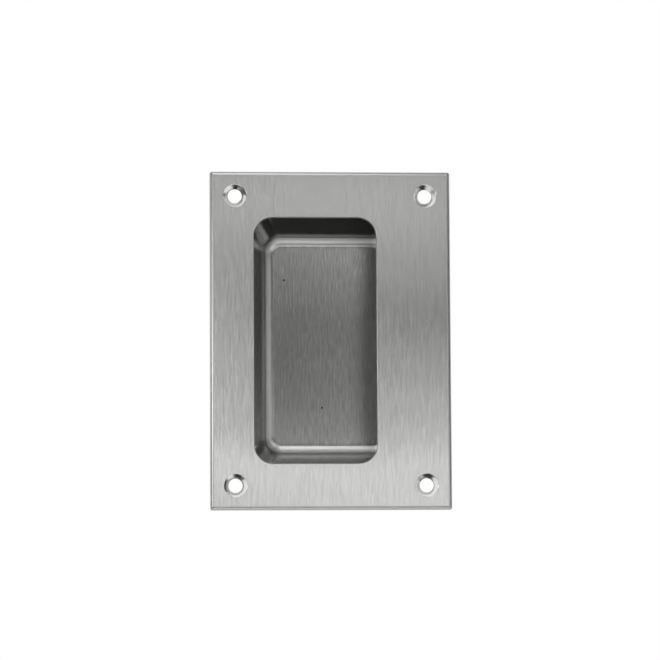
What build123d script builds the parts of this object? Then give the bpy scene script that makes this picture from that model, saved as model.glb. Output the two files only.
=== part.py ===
"""Recessed pull handle for a flush or sliding door, in millimetres.

A thick satin stainless plate has a window cut in it and four countersunk screw holes. A cup drawn from
thinner sheet is spot welded into a shallow seat in the back of the plate. On the pull side the cup runs on
behind the plate, so that the window's edge is a lip for the fingers.

Frame: +Z is up and -Y faces the person at the door. The origin is the centre of the screw holes in the
plate's back face, which is the plane of the door's surface.
"""

import math
import os

from build123d import *

# Plate
plate_width = 89.0
plate_height = 125.0
plate_thickness = 3.2
plate_corner_radius = 0.8
plate_edge_round = 1.4

# Window in the plate
window_width = 45.2
window_height = 91.0
window_side_margin = 16.3
window_corner_radius = 7.0
window_edge_break = 0.3

# Screw holes for countersunk wood screws
screw_inset_side = 9.3
screw_inset_end = 9.0
screw_hole_diameter = 5.2
countersink_diameter = 8.6
countersink_angle = 82.0

# Cup drawn from sheet
sheet_thickness = 1.2
recess_depth = 24.2
wall_draft = 15.5
cup_corner_radius = 6.0
floor_fillet = 4.0
die_radius = 1.0
grip_overhang = 12.0
mouth_overlap = 0.5
flange_width = 7.0

# Seat of the flange, and the marks of the spot welds that hold it there
seat_clearance = 0.25
weld_mark_diameter = 3.6
weld_mark_depth = 0.2
weld_line_inset = 2.6
weld_marks_upright = 4
weld_marks_across = 3

# Where the window and the cup's mouth lie on the plate, seen from the front
window_left = -plate_width / 2 + window_side_margin
window_right = window_left + window_width
window_centre_x = (window_left + window_right) / 2
mouth_left = window_left - mouth_overlap
mouth_right = window_right + grip_overhang
mouth_centre_x = (mouth_left + mouth_right) / 2
mouth_width = mouth_right - mouth_left
mouth_height = window_height + 2 * mouth_overlap
flange_corner_radius = cup_corner_radius + flange_width

# Depths along +Y. The flange fills its seat, so it lies flush with the plate's back at 0
front_y = -plate_thickness
seat_y = -sheet_thickness
floor_y = front_y + recess_depth
cup_back_y = floor_y + sheet_thickness

# Width of the slanting wall's section, cut level with the plate
wall_section = sheet_thickness / math.cos(math.radians(wall_draft))

# How close a face or an edge has to lie to a plane to be picked there
pick_tolerance = 0.01


def at_depth(y):
    """The upright plane at depth y, whose sketches are seen from the front, X across and Z up."""
    return Plane.XZ.offset(-y)


def flange_outline(clearance=0.0):
    """Draws the flange's outline, with a clearance round it."""
    with Locations((mouth_centre_x, 0)):
        RectangleRounded(
            mouth_width + 2 * (flange_width + clearance),
            mouth_height + 2 * (flange_width + clearance),
            flange_corner_radius + clearance,
        )


def mouth_outline(outward=0.0):
    """Draws the mouth's rectangle before its corners are rounded, moved outward from the inside."""
    with Locations((mouth_centre_x, 0)):
        Rectangle(mouth_width + 2 * outward, mouth_height + 2 * outward)


def edges_at_depth(part, y):
    """The edges of a part that lie at depth y."""
    return part.edges().filter_by_position(Axis.Y, y - pick_tolerance, y + pick_tolerance)


def opening_rim(part, y):
    """The edges round the opening in a part's flat face at depth y."""
    flat_face = part.faces().filter_by_position(Axis.Y, y - pick_tolerance, y + pick_tolerance)[0]
    return flat_face.inner_wires()[0].edges()


# Face plate: cut from thick sheet, its front edges rounded over and its holes countersunk from the front
with BuildPart() as face_plate:
    with BuildSketch(at_depth(0)):
        RectangleRounded(plate_width, plate_height, plate_corner_radius)
    extrude(amount=plate_thickness)
    fillet(edges_at_depth(face_plate, front_y), plate_edge_round)

    # Seat for the flange, milled into the back
    with BuildSketch(at_depth(0)):
        flange_outline(seat_clearance)
    extrude(amount=sheet_thickness, mode=Mode.SUBTRACT)

    # Window
    with BuildSketch(at_depth(seat_y)):
        with Locations((window_centre_x, 0)):
            RectangleRounded(window_width, window_height, window_corner_radius)
    extrude(amount=plate_thickness - sheet_thickness, mode=Mode.SUBTRACT)
    fillet(opening_rim(face_plate, front_y), window_edge_break)

    # Screw holes
    screw_spacing_x = plate_width - 2 * screw_inset_side
    screw_spacing_z = plate_height - 2 * screw_inset_end
    with Locations(at_depth(front_y)):
        with GridLocations(screw_spacing_x, screw_spacing_z, 2, 2):
            CounterSinkHole(
                radius=screw_hole_diameter / 2,
                counter_sink_radius=countersink_diameter / 2,
                depth=plate_thickness,
                counter_sink_angle=countersink_angle,
            )

# Room inside the cup and in front of its flange, with the round of the floor and of the mouth
with BuildPart() as cup_room:
    with BuildSketch(at_depth(seat_y)):
        mouth_outline()
    extrude(amount=seat_y - floor_y, taper=wall_draft)
    fillet(cup_room.edges().group_by(Axis.Y)[1], cup_corner_radius)
    fillet(edges_at_depth(cup_room, floor_y), floor_fillet)
    with BuildSketch(at_depth(seat_y)):
        flange_outline(seat_clearance)
    extrude(amount=plate_thickness)
    fillet(opening_rim(cup_room, seat_y), die_radius + sheet_thickness)

# Recess cup: one sheet, drawn with tapering walls, its rim left flat as a flange
with BuildPart() as recess_cup:
    with BuildSketch(at_depth(seat_y)):
        mouth_outline(wall_section)
    extrude(amount=seat_y - cup_back_y, taper=wall_draft)
    fillet(recess_cup.edges().group_by(Axis.Y)[1], cup_corner_radius + sheet_thickness)
    fillet(edges_at_depth(recess_cup, cup_back_y), floor_fillet + sheet_thickness)
    with BuildSketch(at_depth(0)):
        flange_outline()
    extrude(amount=sheet_thickness)
    fillet(opening_rim(recess_cup, 0), die_radius)
    add(cup_room.part, mode=Mode.SUBTRACT)

    # Marks of the welding electrodes on the back of the flange
    weld_spacing_x = mouth_width + 2 * (flange_width - weld_line_inset)
    weld_spacing_z = mouth_height + 2 * (flange_width - weld_line_inset)
    upright_pitch = (mouth_height - 2 * cup_corner_radius) / (weld_marks_upright - 1)
    across_pitch = (mouth_width - 2 * cup_corner_radius) / (weld_marks_across - 1)
    with BuildSketch(at_depth(0)):
        with Locations((mouth_centre_x, 0)):
            with GridLocations(weld_spacing_x, upright_pitch, 2, weld_marks_upright):
                Circle(weld_mark_diameter / 2)
            with GridLocations(across_pitch, weld_spacing_z, weld_marks_across, 2):
                Circle(weld_mark_diameter / 2)
    extrude(amount=weld_mark_depth, mode=Mode.SUBTRACT)

face_plate.part.label = "face_plate"
recess_cup.part.label = "recess_cup"

os.makedirs("parts", exist_ok=True)
export_step(face_plate.part, "parts/face_plate.step")
export_step(recess_cup.part, "parts/recess_cup.step")
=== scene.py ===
"""Recessed pull handle for a flush or sliding door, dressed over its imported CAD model.

+Z is up and -Y faces the person at the door. Lengths are in metres, written as millimetres times MM.
"""

import math

import bpy
from mathutils import Matrix, Vector


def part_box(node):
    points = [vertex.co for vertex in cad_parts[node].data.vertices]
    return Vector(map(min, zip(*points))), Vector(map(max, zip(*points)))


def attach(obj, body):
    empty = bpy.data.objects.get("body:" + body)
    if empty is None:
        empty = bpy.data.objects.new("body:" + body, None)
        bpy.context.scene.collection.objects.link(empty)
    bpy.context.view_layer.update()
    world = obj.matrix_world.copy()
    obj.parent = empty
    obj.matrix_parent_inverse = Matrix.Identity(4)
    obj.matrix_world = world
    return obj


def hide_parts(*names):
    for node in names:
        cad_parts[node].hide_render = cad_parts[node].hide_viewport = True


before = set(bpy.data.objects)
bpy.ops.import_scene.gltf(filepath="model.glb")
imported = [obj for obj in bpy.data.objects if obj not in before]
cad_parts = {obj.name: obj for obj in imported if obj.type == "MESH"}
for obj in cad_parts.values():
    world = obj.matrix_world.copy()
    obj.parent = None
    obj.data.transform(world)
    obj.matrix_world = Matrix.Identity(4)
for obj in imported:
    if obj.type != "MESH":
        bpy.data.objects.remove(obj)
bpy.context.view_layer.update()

# Face plate
# A plate of 3.2 mm stainless sheet, cut to size, its front edges rounded over on a belt. The window is
# cut through it, the four holes are countersunk for wood screws and the back has a milled seat.
MM = 0.001
plate_low, plate_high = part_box("face_plate")
plate_front_y = plate_low.y
seat_y = -1.2 * MM
corner_round = 0.8 * MM
front_round = 1.4 * MM
window_left, window_right, window_half_height = -28.2 * MM, 17.0 * MM, 45.5 * MM
window_corner = 7.0 * MM
window_break = 0.3 * MM
hole_x, hole_z = 35.2 * MM, 53.5 * MM
hole_radius = 2.6 * MM
countersink_radius = 4.3 * MM
countersink_slope = math.radians(41)
rim_break = 0.08 * MM
flange_low = Vector((-35.7 * MM, seat_y, -53.0 * MM))
flange_high = Vector((36.0 * MM, 0, 53.0 * MM))
flange_corner = 13.0 * MM
clearance = 0.25 * MM

# How near two points lie that count as one, and how far a cutting tool runs on past a surface
near = 0.01 * MM
past = 1 * MM


def let_go():
    """Leaves edit mode, with nothing selected."""
    if bpy.context.mode != "OBJECT":
        bpy.ops.object.mode_set(mode="OBJECT")
    bpy.ops.object.select_all(action="DESELECT")


def take_up(piece):
    """Makes a piece the only one selected, in object mode."""
    let_go()
    piece.select_set(True)
    bpy.context.view_layer.objects.active = piece


def add_shape(name, shape, stretch=(1, 1, 1), **settings):
    """Adds a primitive shape, stretched about its own middle, with its place taken into its mesh."""
    let_go()
    shape(**settings)
    piece = bpy.context.object
    piece.name = name
    piece.scale = stretch
    bpy.ops.object.transform_apply()
    return piece


def add_block(name, low, high):
    """Adds a box between two corners."""
    middle = [(a + b) / 2 for a, b in zip(low, high)]
    lengths = [b - a for a, b in zip(low, high)]
    return add_shape(name, bpy.ops.mesh.primitive_cube_add, stretch=lengths, size=1, location=middle)


def pick(piece, kind, wanted):
    """Goes into edit mode on a piece with those of its edges or faces selected that a test wants."""
    take_up(piece)
    bpy.ops.object.mode_set(mode="EDIT")
    bpy.ops.mesh.select_mode(type=kind)
    bpy.ops.mesh.select_all(action="DESELECT")
    bpy.ops.object.mode_set(mode="OBJECT")
    mesh = piece.data
    if kind == "EDGE":
        for edge in mesh.edges:
            edge.select = wanted(*(mesh.vertices[v].co for v in edge.vertices))
    else:
        for face in mesh.polygons:
            face.select = wanted(face.center, face.normal)
    bpy.ops.object.mode_set(mode="EDIT")


def round_over(piece, wanted, width, segments):
    """Rounds over those edges of a piece that a test wants."""
    pick(piece, "EDGE", wanted)
    bpy.ops.mesh.bevel(offset=width, segments=segments, profile=0.5)


def finish_with(piece, kind, **settings):
    """Gives a piece a modifier and applies it."""
    take_up(piece)
    modifier = piece.modifiers.new(kind.lower(), kind)
    for setting, value in settings.items():
        setattr(modifier, setting, value)
    bpy.ops.object.modifier_apply(modifier=modifier.name)


def cut_away(piece, tool, places=((0, 0),)):
    """Cuts a tool's shape out of a piece at each place, a distance in X and Z, and throws the tool away."""
    for x, z in places:
        tool.location = (x, 0, z)
        finish_with(piece, "BOOLEAN", operation="DIFFERENCE", solver="EXACT", object=tool)
    bpy.data.objects.remove(tool)


def everywhere(centre, normal):
    """Every face is wanted."""
    return True


def faces_front(centre, normal):
    """Whether a face looks to the front."""
    return normal.y < -0.9


def faces_back(centre, normal):
    """Whether a face looks to the back."""
    return normal.y > 0.9


def at_depth(y):
    """A test for edges that lie at depth y."""
    return lambda a, b: abs(a.y - y) < near and abs(b.y - y) < near


def runs_in_depth(a, b):
    """Whether an edge runs straight from front to back."""
    return abs(a.x - b.x) < near and abs(a.z - b.z) < near


def rounded_block(name, low, high, radius, segments):
    """Adds a box whose corners, seen from the front, are rounded."""
    block = add_block(name, low, high)
    round_over(block, runs_in_depth, radius, segments)
    return block


def round_tool(start_y, radius, end_y, end_radius, sides):
    """Adds a round bar on the Y axis, which goes over into a cone between start_y and end_y."""
    tool = add_shape(
        "round_tool",
        bpy.ops.mesh.primitive_cylinder_add,
        vertices=sides,
        radius=radius,
        depth=past - start_y,
        location=(0, (past + start_y) / 2, 0),
        rotation=(math.radians(90), 0, 0),
    )
    pick(tool, "FACE", faces_front)
    bpy.ops.mesh.extrude_region_move(TRANSFORM_OT_translate={"value": (0, end_y - start_y, 0)})
    grow = end_radius / radius
    bpy.ops.transform.resize(value=(grow, 1, grow), center_override=(0, end_y, 0))
    return tool


def smooth(piece):
    """Merges doubles, then shades a piece smooth over its flatter edges, with its flat faces kept flat."""
    pick(piece, "FACE", everywhere)
    bpy.ops.mesh.remove_doubles(threshold=0.1 * near)
    take_up(piece)
    bpy.ops.object.shade_smooth_by_angle(angle=math.radians(35))
    finish_with(piece, "WEIGHTED_NORMAL", keep_sharp=True, weight=100)


plate = add_block("brushed_plate", plate_low, plate_high)
pick(plate, "EDGE", runs_in_depth)
bpy.ops.transform.edge_bevelweight(value=corner_round / front_round)
pick(plate, "EDGE", at_depth(plate_front_y))
bpy.ops.transform.edge_bevelweight(value=1)
finish_with(plate, "BEVEL", limit_method="WEIGHT", width=front_round, segments=8, use_clamp_overlap=False)

seat_tool = rounded_block(
    "seat_tool",
    (flange_low.x - clearance, seat_y, flange_low.z - clearance),
    (flange_high.x + clearance, past, flange_high.z + clearance),
    flange_corner + clearance,
    segments=16,
)
cut_away(plate, seat_tool)
window_tool = rounded_block(
    "window_tool",
    (window_left, plate_front_y - past, -window_half_height),
    (window_right, past, window_half_height),
    window_corner,
    segments=12,
)
cut_away(plate, window_tool)
hole_tool = round_tool(
    plate_front_y + (countersink_radius - hole_radius) / math.tan(countersink_slope),
    hole_radius,
    plate_front_y - past,
    countersink_radius + past * math.tan(countersink_slope),
    sides=64,
)
cut_away(plate, hole_tool, [(x, z) for x in (-hole_x, hole_x) for z in (-hole_z, hole_z)])


def outside_window(point):
    """How far a point lies outside the window's outline, seen from the front, or less than 0 inside it."""
    half_width = (window_right - window_left) / 2
    over_x = abs(point.x - window_left - half_width) - half_width + window_corner
    over_z = abs(point.z) - window_half_height + window_corner
    return math.hypot(max(over_x, 0), max(over_z, 0)) + min(max(over_x, over_z), 0) - window_corner


def outside_countersink(point):
    """How far a point lies outside the nearest countersink's outline, seen from the front."""
    return math.hypot(abs(point.x) - hole_x, abs(point.z) - hole_z) - countersink_radius


def on_front_rim(outside):
    """A test for edges in the front face that lie on an outline, from how far outside it a point is."""
    at_front = at_depth(plate_front_y)
    return lambda a, b: at_front(a, b) and abs(outside(a)) < 2 * near and abs(outside(b)) < 2 * near


round_over(plate, on_front_rim(outside_window), window_break, segments=4)
round_over(plate, on_front_rim(outside_countersink), rim_break, segments=2)

# A small nick in the lower edge, where the plate has been knocked
nick_radius, nick_stretch = 1.1 * MM, 1.6
nick_tool = add_shape(
    "nick_tool",
    bpy.ops.mesh.primitive_uv_sphere_add,
    stretch=(nick_stretch, 1, 1),
    segments=24,
    ring_count=12,
    radius=nick_radius,
    location=(22.7 * MM, plate_front_y - 0.5 * nick_radius, plate_low.z + 0.1 * MM),
)
cut_away(plate, nick_tool)
smooth(plate)


def hex_colour(code):
    """An sRGB hex value as the linear colour that a shader takes."""
    parts = [int(code[i : i + 2], 16) / 255 for i in (1, 3, 5)]
    return (*(p / 12.92 if p <= 0.04045 else ((p + 0.055) / 1.055) ** 2.4 for p in parts), 1)


def add_node(tree, kind, settings, links):
    """Adds a node, sets its properties and inputs, and joins inputs to (node, output) pairs."""
    node = tree.nodes.new("ShaderNode" + kind)
    for name, value in settings.items():
        if isinstance(name, str) and hasattr(node, name):
            setattr(node, name, value)
        else:
            node.inputs[name].default_value = value
    for name, (source, output) in links.items():
        tree.links.new(source.outputs[output], node.inputs[name])
    return node


def map_grain(piece, axis_y):
    """Gives a piece its grain's UV map: U goes round an upright axis, V up, or back on the top and bottom."""
    layer = piece.data.uv_layers.new(name="grain")
    for face in piece.data.polygons:
        on_end = abs(face.normal.z) > 0.99
        for i in face.loop_indices:
            co = piece.data.vertices[piece.data.loops[i].vertex_index].co
            turn = math.atan2(co.x, abs(co.y - axis_y)) * abs(axis_y)
            layer.data[i].uv = (turn, co.y if on_end else co.z)


def new_material(name):
    """Adds a material with an empty node tree and gives back both."""
    material = bpy.data.materials.new(name)
    material.use_nodes = True
    material.node_tree.nodes.clear()
    return material, material.node_tree


def give_material(piece, material, wanted):
    """Puts a material on those of a piece's faces that a test wants."""
    piece.data.materials.append(material)
    pick(piece, "FACE", wanted)
    piece.active_material_index = len(piece.data.materials) - 1
    bpy.ops.object.material_slot_assign()
    let_go()


# The upright axis of the grain lies behind the plate, and as far in front of the cup
grain_axis_y = 40 * MM
map_grain(plate, grain_axis_y)

# The output of a Mix node that gives a colour
colour = 2

# Satin stainless steel, brushed up and down with 180 grit: light spreads across the lines and stays narrow
# along them. They are about 0.1 mm wide, and are drawn 0.25 mm wide so that they show. Rolling has left the
# sheet faintly wavy.
grain_width, grain_length, line_height = 0.25 * MM, 2.5 * MM, 0.0015 * MM
wave_length, wave_stretch, wave_height = 45 * MM, 0.6, 0.02 * MM


def add_brush_lines(tree):
    """Adds the nodes of upright brush lines: a point's place, the lines there, and the way across them."""
    place = add_node(tree, "TexCoord", {}, {})
    drawn_out = {"Scale": (1, 1, grain_width / grain_length)}
    stretch = add_node(tree, "Mapping", drawn_out, {"Vector": (place, "Object")})
    pattern = {"Scale": 0.5 / grain_width, "Detail": 3, "Roughness": 0.6}
    lines = add_node(tree, "TexNoise", pattern, {"Vector": (stretch, 0)})
    crosswise = add_node(tree, "Tangent", {"direction_type": "UV_MAP", "uv_map": "grain"}, {})
    return place, lines, crosswise


satin, tree = new_material("satin_stainless")
place, lines, crosswise = add_brush_lines(tree)
sway = add_node(tree, "Mapping", {"Scale": (1, 1, wave_stretch)}, {"Vector": (place, "Object")})
waves = add_node(tree, "TexNoise", {"Scale": 1 / wave_length, "Detail": 1}, {"Vector": (sway, 0)})
wavy = add_node(tree, "Bump", {"Strength": 1, "Distance": wave_height}, {"Height": (waves, "Fac")})
scored = add_node(
    tree, "Bump", {"Strength": 1, "Distance": line_height}, {"Height": (lines, "Fac"), "Normal": (wavy, 0)}
)
tone = add_node(
    tree,
    "Mix",
    {"data_type": "RGBA", "A": hex_colour("#B4B4B2"), "B": hex_colour("#E4E4E2")},
    {"Factor": (lines, "Fac")},
)
gloss = add_node(tree, "MapRange", {"To Min": 0.21, "To Max": 0.28}, {"Value": (lines, "Fac")})
steel = add_node(
    tree,
    "BsdfPrincipled",
    {"Metallic": 1, "Anisotropic": 1.0},
    {"Base Color": (tone, colour), "Roughness": (gloss, 0), "Normal": (scored, 0), "Tangent": (crosswise, 0)},
)
add_node(tree, "OutputMaterial", {}, {"Surface": (steel, 0)})
give_material(plate, satin, everywhere)

# The same steel turned by the countersink cutter: almost smooth, with fine rings round the hole, and lighter
# in colour than the steel is, a painted highlight for the glare of the turned cone.
# At a scale of 1 the wave texture turns by 20 radians a metre.
ring_pitch, ring_height = 0.3 * MM, 0.002 * MM
turned, tree = new_material("turned_stainless")
place = add_node(tree, "TexCoord", {}, {})
mirrored = add_node(tree, "VectorMath", {"operation": "ABSOLUTE"}, {0: (place, "Object")})
from_hole = add_node(
    tree, "VectorMath", {"operation": "SUBTRACT", 1: (hole_x, 0, hole_z)}, {0: (mirrored, 0)}
)
in_plane = add_node(tree, "VectorMath", {"operation": "MULTIPLY", 1: (1, 0, 1)}, {0: (from_hole, 0)})
rings = add_node(
    tree,
    "TexWave",
    {"wave_type": "RINGS", "rings_direction": "SPHERICAL", "Scale": math.tau / (20 * ring_pitch)},
    {"Vector": (in_plane, 0)},
)
tool_marks = add_node(tree, "Bump", {"Strength": 1, "Distance": ring_height}, {"Height": (rings, "Fac")})
# Painted highlight: a base colour lighter than the steel's own
steel = add_node(
    tree,
    "BsdfPrincipled",
    {"Metallic": 1, "Roughness": 0.10, "Base Color": hex_colour("#E6E6E4")},
    {"Normal": (tool_marks, 0)},
)
add_node(tree, "OutputMaterial", {}, {"Surface": (steel, 0)})


def in_a_hole(centre, normal):
    """Whether a face belongs to a screw hole."""
    flat = faces_front(centre, normal) or faces_back(centre, normal)
    return outside_countersink(centre) < 0 and not flat


give_material(plate, turned, in_a_hole)

# The rounded rim and the window's edge, sanded on a belt: duller and a little darker than the brushed face,
# with fine scratches. They are 0.1 mm wide, and are drawn 0.3 mm wide so that they show.
scratch_width = 0.3 * MM
sanded, tree = new_material("sanded_stainless")
place = add_node(tree, "TexCoord", {}, {})
scratches = add_node(
    tree, "TexNoise", {"Scale": 0.5 / scratch_width, "Detail": 2}, {"Vector": (place, "Object")}
)
tone = add_node(
    tree,
    "Mix",
    {"data_type": "RGBA", "A": hex_colour("#B4B4B2"), "B": hex_colour("#CCCCCA")},
    {"Factor": (scratches, "Fac")},
)
gloss = add_node(tree, "MapRange", {"To Min": 0.32, "To Max": 0.40}, {"Value": (scratches, "Fac")})
steel = add_node(
    tree, "BsdfPrincipled", {"Metallic": 1}, {"Base Color": (tone, colour), "Roughness": (gloss, 0)}
)
add_node(tree, "OutputMaterial", {}, {"Surface": (steel, 0)})


def on_sanded_edge(centre, normal):
    """Whether a face belongs to the rounded rim or the cut sides of the plate, or to the window's edge."""
    inside = min(plate_high.x - abs(centre.x), plate_high.z - abs(centre.z))
    flat_front, flat_back = normal.y < -0.999, normal.y > 0.999
    on_window_edge = outside_window(centre) < window_break and not flat_back
    return not flat_front and (inside < front_round or on_window_edge)


give_material(plate, sanded, on_sanded_edge)

# The mill's dull grey finish, left on the back and in the seat: a faint cloudiness from pickling.
cloud_size = 5 * MM
mill, tree = new_material("mill_finish_stainless")
place = add_node(tree, "TexCoord", {}, {})
clouds = add_node(tree, "TexNoise", {"Scale": 1 / cloud_size, "Detail": 4}, {"Vector": (place, "Object")})
gloss = add_node(tree, "MapRange", {"To Min": 0.36, "To Max": 0.50}, {"Value": (clouds, "Fac")})
grey = {"Metallic": 1, "Base Color": hex_colour("#B4B4B1")}
steel = add_node(tree, "BsdfPrincipled", grey, {"Roughness": (gloss, 0)})
add_node(tree, "OutputMaterial", {}, {"Surface": (steel, 0)})
give_material(plate, mill, faces_back)

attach(plate, "root")
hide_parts("face_plate")

# Recess cup
# One sheet of 1.2 mm stainless steel, drawn to a cup with tapering walls in a die. Its rim is left flat
# as a flange, which is spot welded into the seat in the plate's back.
sheet = 1.2 * MM
floor_y = 21.0 * MM
mouth_low = Vector((-28.7 * MM, seat_y, -46.0 * MM))
mouth_high = Vector((29.0 * MM, floor_y, 46.0 * MM))
draft = math.radians(15.5)
wall_corner = 6.0 * MM
floor_round = 4.0 * MM
mouth_round = 2.2 * MM
corner_steps = 12

cup = add_block("drawn_cup", mouth_low, mouth_high)
mouth_size = mouth_high - mouth_low
taper = mouth_size.y * math.tan(draft)
pick(cup, "FACE", faces_back)
bpy.ops.transform.resize(
    value=(1 - 2 * taper / mouth_size.x, 1, 1 - 2 * taper / mouth_size.z),
    center_override=((mouth_low.x + mouth_high.x) / 2, floor_y, 0),
)

# The turn between two walls at a corner, and from a wall to the floor or the flange
wall_turn = math.acos(math.sin(draft) ** 2)
floor_turn = math.radians(90) - draft


def bevel_width(radius, turn):
    """How wide a bevel is that makes a round of this radius where one face turns into the next."""
    return radius * math.tan(turn / 2)


def runs_down_a_wall(a, b):
    """Whether an edge runs from the mouth to the floor."""
    return abs(a.y - b.y) > taper


round_over(cup, runs_down_a_wall, bevel_width(wall_corner, wall_turn), corner_steps)
round_over(cup, at_depth(floor_y), bevel_width(floor_round, floor_turn), segments=8)
pick(cup, "FACE", faces_front)
bpy.ops.mesh.delete(type="FACE")

# The flange's outline, bridged to the mouth
flange = add_shape(
    "flange",
    bpy.ops.mesh.primitive_plane_add,
    stretch=(flange_high.x - flange_low.x, flange_high.z - flange_low.z, 1),
    size=1,
    location=((flange_low.x + flange_high.x) / 2, seat_y, 0),
    rotation=(math.radians(90), 0, 0),
)
pick(flange, "FACE", everywhere)
bpy.ops.mesh.bevel(offset=flange_corner, segments=corner_steps, profile=0.5, affect="VERTICES")
bpy.ops.mesh.select_all(action="SELECT")
bpy.ops.mesh.delete(type="ONLY_FACE")
take_up(cup)
flange.select_set(True)
bpy.ops.object.join()
pick(cup, "EDGE", at_depth(seat_y))
bpy.ops.mesh.bridge_edge_loops()


def on_mouth(a, b):
    """Whether an edge lies on the line where the wall meets the flange."""
    in_x = all(mouth_low.x - near < v.x < mouth_high.x + near for v in (a, b))
    in_z = all(abs(v.z) < mouth_high.z + near for v in (a, b))
    return in_x and in_z and at_depth(seat_y)(a, b)


round_over(cup, on_mouth, bevel_width(mouth_round, floor_turn), segments=6)
bpy.ops.mesh.select_all(action="SELECT")
bpy.ops.mesh.normals_make_consistent(inside=False)
finish_with(cup, "SOLIDIFY", thickness=sheet, offset=-1, use_even_offset=True, use_quality_normals=True)

# The marks of the welding electrodes in the flange's back: shallow, dished and round
mark_radius, mark_floor_radius, mark_depth, mark_break = 1.8 * MM, 1.4 * MM, 0.2 * MM, 0.06 * MM
mark_side_x = (-33.1 * MM, 33.4 * MM)
mark_side_z = (-40.0 * MM, -13.333 * MM, 13.333 * MM, 40.0 * MM)
mark_end_x = (-22.7 * MM, 0.15 * MM, 23.0 * MM)
mark_end_z = 50.4 * MM
marks = [(x, z) for x in mark_side_x for z in mark_side_z]
marks += [(x, z) for x in mark_end_x for z in (-mark_end_z, mark_end_z)]
cut_away(cup, round_tool(0, mark_radius, -mark_depth, mark_floor_radius, sides=32), marks)


def in_a_mark(point):
    """Whether a point of the flange's back lies in a weld mark or on its rim."""
    at_back = point.y > -mark_depth - near
    return at_back and any(math.hypot(point.x - x, point.z - z) < mark_radius + near for x, z in marks)


def on_mark_edge(a, b):
    """Whether an edge runs round the rim or the floor of a weld mark."""
    return in_a_mark(a) and in_a_mark(b) and abs(a.y - b.y) < near


round_over(cup, on_mark_edge, mark_break, segments=2)

# Two small pits in the floor
pit_radius = 0.42 * MM
pits = [(-15.9 * MM, 24.6 * MM), (-1.8 * MM, -23.4 * MM)]
pit_tool = add_shape(
    "pit_tool",
    bpy.ops.mesh.primitive_uv_sphere_add,
    segments=16,
    ring_count=8,
    radius=pit_radius,
    location=(0, floor_y - 0.2 * pit_radius, 0),
)
cut_away(cup, pit_tool, pits)
smooth(cup)
map_grain(cup, -grain_axis_y)

# Drawn stainless steel. The floor keeps the sheet's upright brush lines, so it spreads light mostly sideways;
# its colour is darker than the plate's, a painted shade of the recess.
# The walls are burnished smooth by the die, and their colour is darker still, a painted shade of the recess.
# The bends, stretched over its edge, have a soft sheen and a near white colour, a painted highlight. The
# press has left the sheet a little uneven.
dent_size, dent_height = 30 * MM, 0.2 * MM
drawn, tree = new_material("drawn_stainless")
place, lines, crosswise = add_brush_lines(tree)
# Brush lines, and painted shade: the floor's colours are darker than the plate's, for the shade in the recess
brush_lines_and_shade = add_node(
    tree,
    "Mix",
    {"data_type": "RGBA", "A": hex_colour("#787876"), "B": hex_colour("#C8C8C6")},
    {"Factor": (lines, "Fac")},
)
# How far a face is turned to the front tells a wall, 0.27, from the bends and from the floor, 1
facing = add_node(tree, "SeparateXYZ", {}, {0: (place, "Normal")})
bent = add_node(tree, "MapRange", {"From Min": -0.4, "From Max": -0.6}, {"Value": (facing, "Y")})
flat = add_node(tree, "MapRange", {"From Min": -0.88, "From Max": -0.985}, {"Value": (facing, "Y")})
not_flat = add_node(tree, "MapRange", {"To Min": 1, "To Max": 0}, {"Value": (flat, 0)})
bend = add_node(tree, "Math", {"operation": "MULTIPLY"}, {0: (bent, 0), 1: (not_flat, 0)})
# Painted shade: the walls get a darker colour than the steel, standing for the shade in the recess
painted_wall_shade = add_node(
    tree,
    "Mix",
    {"data_type": "RGBA", "A": hex_colour("#8C8C8A")},
    {"Factor": (bent, 0), "B": (brush_lines_and_shade, colour)},
)
# Painted highlight: the bends get a near white colour, standing for the bright light they mirror
tone = add_node(
    tree,
    "Mix",
    {"data_type": "RGBA", "B": hex_colour("#EFEFED")},
    {"Factor": (bend, 0), "A": (painted_wall_shade, colour)},
)
sheen = add_node(tree, "MapRange", {"To Min": 0.17, "To Max": 0.46}, {"Value": (bent, 0)})
gloss = add_node(tree, "MapRange", {"To Max": 0.25}, {"Value": (flat, 0), "To Min": (sheen, 0)})
one_way = add_node(tree, "MapRange", {"To Max": 0.8}, {"Value": (flat, 0)})
dents = add_node(tree, "TexNoise", {"Scale": 1 / dent_size, "Detail": 1}, {"Vector": (place, "Object")})
dented = add_node(tree, "Bump", {"Strength": 1, "Distance": dent_height}, {"Height": (dents, "Fac")})
scored = add_node(
    tree,
    "Bump",
    {"Strength": 1, "Distance": 2 * line_height},
    {"Height": (lines, "Fac"), "Normal": (dented, 0)},
)
steel = add_node(
    tree,
    "BsdfPrincipled",
    {"Metallic": 1},
    {
        "Base Color": (tone, colour),
        "Roughness": (gloss, 0),
        "Anisotropic": (one_way, 0),
        "Normal": (scored, 0),
        "Tangent": (crosswise, 0),
    },
)
add_node(tree, "OutputMaterial", {}, {"Surface": (steel, 0)})
give_material(cup, drawn, everywhere)

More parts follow.
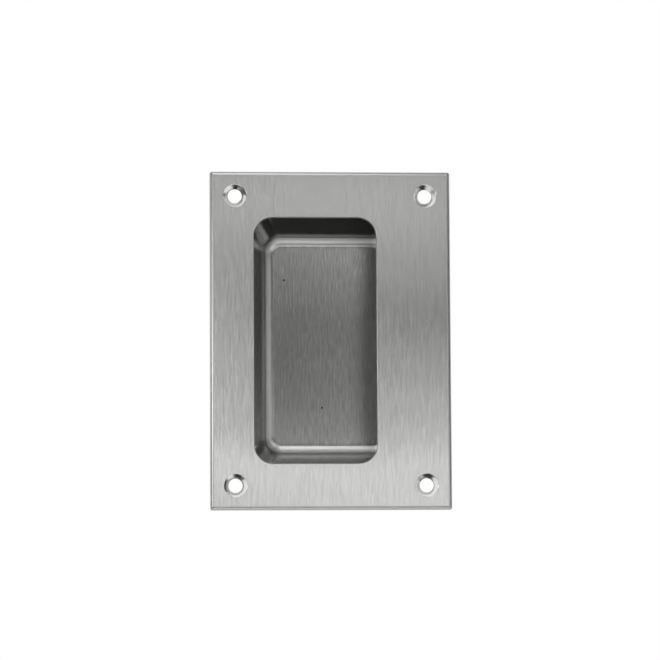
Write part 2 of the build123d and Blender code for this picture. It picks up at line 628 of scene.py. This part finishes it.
# The outside of the cup, dull from the press, with drag marks that run into its depth.
drag_width, drag_stretch = 0.8 * MM, 0.06
pressed, tree = new_material("pressed_stainless")
place = add_node(tree, "TexCoord", {}, {})
stretch = add_node(tree, "Mapping", {"Scale": (1, drag_stretch, 1)}, {"Vector": (place, "Object")})
drag_marks = add_node(tree, "TexNoise", {"Scale": 1 / drag_width, "Detail": 3}, {"Vector": (stretch, 0)})
tone = add_node(
    tree,
    "Mix",
    {"data_type": "RGBA", "A": hex_colour("#B0B0AD"), "B": hex_colour("#C0C0BD")},
    {"Factor": (drag_marks, "Fac")},
)
gloss = add_node(tree, "MapRange", {"To Min": 0.30, "To Max": 0.36}, {"Value": (drag_marks, "Fac")})
steel = add_node(
    tree, "BsdfPrincipled", {"Metallic": 1}, {"Base Color": (tone, colour), "Roughness": (gloss, 0)}
)
add_node(tree, "OutputMaterial", {}, {"Surface": (steel, 0)})


def on_outside(centre, normal):
    """Whether a face is on the outside of the cup or the back of its flange, away from the hand."""
    return normal.y > 0.1 and centre.y > seat_y + near


give_material(cup, pressed, on_outside)

# Stainless steel tinted by the welding heat: a thin oxide in cloudy patches of straw yellow and grey.
tint_patch = 1.2 * MM
tinted, tree = new_material("heat_tinted_stainless")
place = add_node(tree, "TexCoord", {}, {})
oxide = add_node(tree, "TexNoise", {"Scale": 0.5 / tint_patch, "Detail": 2}, {"Vector": (place, "Object")})
thickness = add_node(tree, "MapRange", {"From Min": 0.3, "From Max": 0.7}, {"Value": (oxide, "Fac")})
tone = add_node(
    tree,
    "Mix",
    {"data_type": "RGBA", "A": hex_colour("#A8A296"), "B": hex_colour("#AE9668")},
    {"Factor": (thickness, 0)},
)
steel = add_node(tree, "BsdfPrincipled", {"Metallic": 1, "Roughness": 0.30}, {"Base Color": (tone, colour)})
add_node(tree, "OutputMaterial", {}, {"Surface": (steel, 0)})
give_material(cup, tinted, lambda centre, normal: in_a_mark(centre) and centre.y < -near)

# Painted shade in the pits: a matt, dark and mottled colour on their faces.
speck = 0.1 * MM
pit_shade_material, tree = new_material("painted_pit_shade")
place = add_node(tree, "TexCoord", {}, {})
mottle = add_node(tree, "TexNoise", {"Scale": 0.5 / speck, "Detail": 1}, {"Vector": (place, "Object")})
tone = add_node(
    tree,
    "Mix",
    {"data_type": "RGBA", "A": hex_colour("#2E2D2B"), "B": hex_colour("#484744")},
    {"Factor": (mottle, "Fac")},
)
pit_shade_surface = add_node(tree, "BsdfPrincipled", {"Roughness": 0.8}, {"Base Color": (tone, colour)})
add_node(tree, "OutputMaterial", {}, {"Surface": (pit_shade_surface, 0)})


def in_a_pit(centre, normal):
    """Whether a face lies in one of the pits of the floor."""
    deep = near < centre.y - floor_y < pit_radius
    return deep and any(math.hypot(centre.x - x, centre.z - z) < pit_radius for x, z in pits)


give_material(cup, pit_shade_material, in_a_pit)

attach(cup, "root")
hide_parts("recess_cup")

# Camera
# A long lens a little left of the plate and a little below it, its top turned slightly to the left. The
# picture is 660 pixels wide and high, and the plate's middle is at centre_pixel in it.
view_distance = 1.2
view_left, view_below, view_turn = math.radians(4.0), math.radians(5.0), math.radians(-0.32)
picture_pixels, focal_pixels = 660, 3251
centre_pixel = (329.7, 340.7)
sensor_width = 36
from_plate = Vector(
    (
        -math.sin(view_left) * math.cos(view_below),
        -math.cos(view_left) * math.cos(view_below),
        -math.sin(view_below),
    )
)
bpy.ops.object.camera_add(location=from_plate * view_distance)
camera = bpy.context.object
camera.name = "camera"
camera.data.sensor_width = sensor_width
camera.data.lens = sensor_width * focal_pixels / picture_pixels
camera.data.clip_start = 0.05
across = Vector((0, 0, 1)).cross(from_plate).normalized()
upright = from_plate.cross(across)
side = across * math.cos(view_turn) + upright * math.sin(view_turn)
top = from_plate.cross(side)
aim = Matrix((side, top, from_plate)).transposed()
lean = Matrix.Rotation((centre_pixel[1] - picture_pixels / 2) / focal_pixels, 3, side)
swing = Matrix.Rotation((picture_pixels / 2 - centre_pixel[0]) / focal_pixels, 3, top)
camera.rotation_euler = (lean @ swing @ aim).to_euler()
bpy.context.scene.camera = camera

# Studio
# A pale table, a white room behind the plate and a dim one in front of it, and soft panels of light that
# the camera does not see.
bpy.context.scene.view_settings.view_transform = "Standard"
table_z, table_front, table_back, table_width = -0.25, -0.20, 4.0, 8.0
floor = add_shape(
    "floor",
    bpy.ops.mesh.primitive_plane_add,
    stretch=(table_width, table_back - table_front, 1),
    size=1,
    location=(0, (table_back + table_front) / 2, table_z),
)
paper, tree = new_material("pale_paper")
matt = add_node(tree, "BsdfPrincipled", {"Roughness": 0.8, "Base Color": hex_colour("#E9E9E8")}, {})
add_node(tree, "OutputMaterial", {}, {"Surface": (matt, 0)})
floor.data.materials.append(paper)

# The steel mirrors a white room behind the plate, where the direction's Y is above 0, and a dim one in front
world = bpy.data.worlds.new("studio")
bpy.context.scene.world = world
world.use_nodes = True
tree = world.node_tree
tree.nodes.clear()
rays = add_node(tree, "LightPath", {}, {})
place = add_node(tree, "TexCoord", {}, {})
direction = add_node(tree, "SeparateXYZ", {}, {0: (place, "Generated")})
behind = add_node(tree, "MapRange", {"From Min": -0.1, "From Max": 0.3}, {"Value": (direction, "Y")})
sharp_rays = {0: (rays, "Is Glossy Ray"), 1: (rays, "Is Transmission Ray")}
sharp = add_node(tree, "Math", {"operation": "MAXIMUM"}, sharp_rays)
sharp_behind = add_node(tree, "Math", {"operation": "MULTIPLY"}, {0: (sharp, 0), 1: (behind, 0)})
white = add_node(tree, "Math", {"operation": "MAXIMUM"}, {0: (rays, "Is Camera Ray"), 1: (sharp_behind, 0)})
dim = add_node(tree, "MapRange", {"To Min": 0.7, "To Max": 0.01}, {"Value": (sharp, 0)})
strength = add_node(tree, "MapRange", {"To Max": 1}, {"Value": (white, 0), "To Min": (dim, 0)})
sky = add_node(tree, "Background", {"Color": (1, 1, 1, 1)}, {"Strength": (strength, 0)})
add_node(tree, "OutputWorld", {}, {"Surface": (sky, 0)})


def add_panel(name, middle, size, brightness, facing=(0, 0, 0)):
    """Adds a soft panel that faces a point. A brightness of 1 is white."""
    bpy.ops.object.light_add(type="AREA", location=middle)
    panel = bpy.context.object
    panel.name = name
    panel.rotation_euler = (Vector(facing) - Vector(middle)).to_track_quat("-Z", "Y").to_euler()
    panel.data.shape = "RECTANGLE"
    panel.data.size, panel.data.size_y = size
    panel.data.normalize = False
    panel.data.energy = math.pi * brightness
    panel.visible_camera = False


# Cards of light in front of the plate, most of them one above the other: the brushed face mirrors each at
# its own height. Each has a left, right, low and high edge and a brightness.
card_y = -0.40
cards = (
    (-0.12, 0.14, -0.22, -0.06, 1.2),
    (-0.08, 0.20, -0.06, -0.02, 1.15),
    (0.055, 0.20, -0.02, 0.012, 1.06),
    (0.055, 0.22, 0.012, 0.035, 0.67),
    (0.05, 0.18, 0.035, 0.06, 0.45),
    (0.03, 0.16, 0.06, 0.085, 0.95),
    (0.0, 0.12, 0.085, 0.13, 1.4),
    (-0.20, -0.08, -0.03, 0.15, 1.2),
    (-0.12, 0.12, 0.165, 0.25, 0.6),
    (-0.12, 0.12, 0.26, 0.42, 2.2),
)
for number, (left, right, low, high, brightness) in enumerate(cards, 1):
    middle = ((left + right) / 2, card_y, (low + high) / 2)
    straight_back = (middle[0], 0, middle[2])
    add_panel(f"front_card_{number}", middle, (right - left, high - low), brightness, straight_back)
add_panel("overhead_panel", (-0.10, -0.175, 0.303), (0.30, 0.17), 1.8, (-0.10, 0, 0))
add_panel("left_panel", (-0.302, -0.262, 0.005), (0.17, 0.10), 5.5)
add_panel("right_panel", (0.28, -0.28, -0.035), (0.14, 0.06), 1.2)
add_panel("high_right_panel", (0.23, -0.23, 0.17), (0.10, 0.08), 4.0)
add_panel("low_right_panel", (0.235, -0.245, -0.115), (0.12, 0.10), 2.5)
add_panel("low_panel", (0, -0.13, -0.235), (0.30, 0.06), 0.5)
